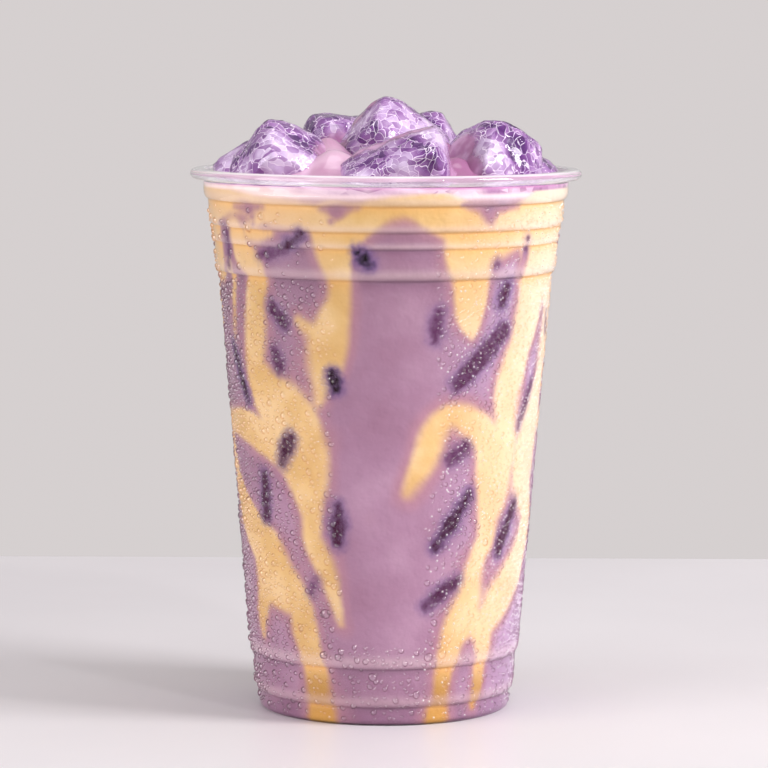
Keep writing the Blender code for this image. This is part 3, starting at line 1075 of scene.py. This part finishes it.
def milk_colour(tree, fine):
    """Lilac milk with its sauce and sunk pieces, then the slush and the open top."""
    cloud = grain(tree, 0.07, 3.0)
    colour = sauced(tree, lilac_colour(tree, cloud))
    # Painted highlight on the step shoulders, then painted shade higher up and by the foot.
    colour = laid(tree, colour, SHOULDER_PAINTED_HIGHLIGHT, field_value(tree, "shoulder"), 0.3)
    upper = upward(tree, *UPPER_SHADE_HEIGHTS)
    colour = mixed(tree, upper, colour, UPPER_SHADE, "MULTIPLY")
    colour = mixed(tree, upward(tree, *FOOT_SHADE_HEIGHTS), colour, FOOT_PAINTED_SHADE, "MULTIPLY")
    colour = with_sunk_pieces(tree, colour)
    colour = mixed(tree, 0.2, colour, ramp(tree, fine, FROTH), "SOFT_LIGHT")
    bare = times(tree, upward(tree, *SLUSH_HEIGHTS_BARE),
                 eased(tree, field_value(tree, "sauce"), 1.6, -0.6))
    slushy = maths(tree, "MAXIMUM", bare, upward(tree, *SLUSH_HEIGHTS))
    colour = mixed(tree, slushy, colour, slush_colour(tree))
    heaped = upward(tree, *HEAP_HEIGHTS)
    return mixed(tree, heaped, colour, heap_colour(tree, cloud))


def milk():
    """The drink: satin behind the wall, wet and lumpy on its open top."""
    made, tree, shader = tree_of("taro_milk")
    fine = grain(tree, 1.6, 3.0, 0.65)
    lumps = maths(tree, "MULTIPLY_ADD", grain(tree, 0.3), 2.5, times(tree, fine, 0.35))
    plug(tree, shader, {"Base Color": milk_colour(tree, fine), "Roughness": 0.3,
                        "Specular IOR Level": 0.0, "Coat Roughness": 0.06, "Coat IOR": 1.7,
                        "Coat Weight": upward(tree, LEVEL, LEVEL + 0.5),
                        "Normal": bumped(tree, lumps, 0.3, 0.4)})
    return made


# ---- look of the ice

def milk_film(tree, normal):
    """Pink film of milk, and how much of it covers each place."""
    colour = mixed(tree, eased(tree, grain(tree, 0.2), 0.4, 0.65), FILM_DEEP, FILM_PALE)
    film = add_node(tree, "BsdfPrincipled",
                    {"Base Color": colour, "Roughness": 0.12, "Normal": normal})
    cover = shaken(tree, field_value(tree, "film"), (0.2, 1.6), (0.7, 0.6))
    return film.outputs[0], times(tree, eased(tree, cover, -0.6, 2.2), 0.88)


def ice_shell():
    """Wet clear ice, tinted violet by the drink, with a film of milk where it has run over."""
    made, tree, shader = tree_of("ice_shell")
    normal = bumped(tree, grain(tree, 0.35), 0.4, 0.8)
    facing = add_node(tree, "LayerWeight", {"Blend": 0.35}).outputs["Facing"]
    plug(tree, shader, {"Base Color": mixed(tree, facing, ICE_CLEAR, ICE_EDGE), "Roughness": 0.02,
                        "IOR": ICE_REFRACTION, "Transmission Weight": 1.0, "Coat Weight": 0.3,
                        "Coat Roughness": 0.04, "Coat IOR": 1.7, "Normal": normal})
    film, share = milk_film(tree, normal)
    show(tree, blended(tree, share, shader.outputs[0], film), ICE_SHADOW)
    return made


def crack_colour(tree, cells, edges):
    """Pale, violet and deep cells of ice between thin white cracks."""
    chance = add_node(tree, "SeparateColor", {"Color": cells.outputs["Color"]}).outputs[0]
    region = grain(tree, 0.11)
    tone = maths(tree, "MULTIPLY_ADD", chance, 0.38, maths(tree, "MULTIPLY_ADD", region, 1.3, -0.36))
    tone = maths(tree, "MULTIPLY_ADD", field_value(tree, "paleness"), 0.26, tone)
    patchy = eased(tree, grain(tree, 0.3), 0.32, 0.5)
    crack = times(tree, eased(tree, edges.outputs[0], 0.035, 0.01), patchy)
    return mixed(tree, crack, ramp(tree, tone, ICE_CELLS), CRACK_WHITE)


def leaning_normal(tree, cells):
    """Normal that leans another way in each cell, so that the cells catch the light by turns."""
    flat = add_node(tree, "VectorMath",
                    {0: cells.outputs["Color"], 1: (0.5, 0.5, 0.5)}, operation="SUBTRACT")
    lean = add_node(tree, "VectorMath", {0: flat.outputs[0], "Scale": CELL_LEAN},
                    operation="SCALE")
    normal = add_node(tree, "NewGeometry", {}).outputs["Normal"]
    leaned = add_node(tree, "VectorMath", {0: normal, 1: lean.outputs[0]}, operation="ADD")
    unit = add_node(tree, "VectorMath", {0: leaned.outputs[0]}, operation="NORMALIZE")
    return unit.outputs[0]


def ice_core():
    """Cracked ice inside the clear shell."""
    made, tree, shader = tree_of("ice_core")
    place = own_place(tree)
    warp = add_node(tree, "TexNoise", {"Vector": place, "Scale": CRACK_BEND_SCALE / MM})
    bend = (CRACK_BEND * MM, CRACK_BEND * MM, CRACK_BEND * MM)
    bent = add_node(tree, "VectorMath", {0: warp.outputs["Color"], 1: bend, 2: place},
                    operation="MULTIPLY_ADD")
    web = {"Vector": bent.outputs[0], "Scale": CRACK_SCALE / MM}
    cells = add_node(tree, "TexVoronoi", web)
    edges = add_node(tree, "TexVoronoi", web, feature="DISTANCE_TO_EDGE")
    plug(tree, shader, {"Base Color": crack_colour(tree, cells, edges), "Roughness": 0.15,
                        "Normal": leaning_normal(tree, cells)})
    return made


# ---- look of the condensation

def water(name, coat_refraction):
    """Condensation: clear, with a painted dark outline at its edge in a deeper colour of what it covers,
    standing in for the shade a bead's bent edge shows.
    """
    made, tree, shader = tree_of(name)
    facing = add_node(tree, "LayerWeight", {"Blend": 0.5}).outputs["Facing"]
    # Painted shade: a dark outline at each bead's edge, in a deeper colour of the milk or the sauce.
    outline = mixed(tree, field_value(tree, "on_sauce"), WATER_EDGE_SHADE_ON_MILK, WATER_EDGE_SHADE_ON_SAUCE)
    tint = mixed(tree, eased(tree, facing, 0.08, 0.42), WHITE, outline)
    plug(tree, shader, {"Base Color": tint, "Roughness": 0.02, "IOR": WATER_REFRACTION,
                        "Transmission Weight": 1.0, "Coat Weight": 1.0, "Coat Roughness": 0.05,
                        "Coat IOR": coat_refraction})
    show(tree, shader.outputs[0], WATER_SHADOW)
    return made


def painted_glint_water():
    """The smallest beads: nearly opaque white, a painted glint that stands in for the highlights on them.
    """
    made, tree, shader = tree_of("water_mist_painted_glint")
    # Painted glint: white base colour that lets little light through.
    plug(tree, shader, {"Base Color": MIST_PAINTED_GLINT, "Roughness": 0.1, "IOR": WATER_REFRACTION,
                        "Transmission Weight": 0.12, "Coat Weight": 1.0, "Coat Roughness": 0.1,
                        "Coat IOR": 2.0})
    show(tree, shader.outputs[0], MIST_SHADOW)
    return made


# ---- stage

def pale_table():
    """Plain pale table top with a faint mottle."""
    made, tree, shader = tree_of("pale_table")
    mottle = grain(tree, 0.01, 3.0)
    plug(tree, shader, {"Base Color": ramp(tree, mottle, TABLE), "Roughness": 0.35})
    return made


def make_floor():
    """The pale table top; it ends behind the cup where the photo's table does."""
    half = FLOOR_WIDTH / 2.0
    corners = [(-half, FLOOR_FRONT, 0.0), (half, FLOOR_FRONT, 0.0), (half, FLOOR_BACK, 0.0),
               (-half, FLOOR_BACK, 0.0)]
    mesh = new_mesh("floor", corners, [(0, 1, 2, 3)])
    mesh.materials.append(pale_table())
    floor = new_object("floor", mesh)


def make_world():
    """Pale studio wall behind the cup, and the dimmer light of the room round it."""
    world = bpy.data.worlds.new("studio")
    world.use_nodes = True
    tree = world.node_tree
    room = tree.nodes["Background"]
    plug(tree, room, {"Color": ROOM_LIGHT})
    wall = add_node(tree, "Background", {"Color": WALL_GREY})
    seen = add_node(tree, "LightPath", {}).outputs["Is Camera Ray"]
    both = blended(tree, seen, room.outputs[0], wall.outputs[0])
    plug(tree, tree.nodes["World Output"], {"Surface": both})
    bpy.context.scene.world = world


def make_lights():
    """Key from the right, broad fill from the front left, a soft top light and a small glint."""
    for name, place, size, power in LIGHTS:
        data = bpy.data.lights.new(name, "AREA")
        data.shape = "RECTANGLE"
        data.size, data.size_y = size
        data.energy = power
        light = new_object(name, data)
        light.location = place
        aim = Vector(LIGHT_AIM) - Vector(place)
        light.rotation_euler = aim.to_track_quat("-Z", "Y").to_euler()


def make_camera():
    """Camera at the photograph's place, with its slight roll."""
    data = bpy.data.cameras.new("camera")
    data.lens = LENS_MM
    data.sensor_width = SENSOR_MM
    camera = new_object("camera", data)
    pitch = Matrix.Rotation(math.radians(CAMERA_PITCH), 4, "X")
    roll = Matrix.Rotation(math.radians(CAMERA_ROLL), 4, "Z")
    camera.matrix_world = Matrix.Translation(CAMERA_PLACE) @ (pitch @ roll)
    bpy.context.scene.camera = camera


def main():
    """Dress the frame and set up the studio."""
    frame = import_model()
    make_cup(wall_plastic(), rim_plastic())
    make_drink(milk())
    looks = [ice_shell(), ice_core()]
    for name, node in sorted(frame["nodes"].items()):
        if name.startswith("ice_"):
            make_ice(node, "cube_" + name[-2:], looks)
    make_beads()
    make_floor()
    make_world()
    make_lights()
    make_camera()
    bpy.context.scene.view_settings.view_transform = "Standard"


main()
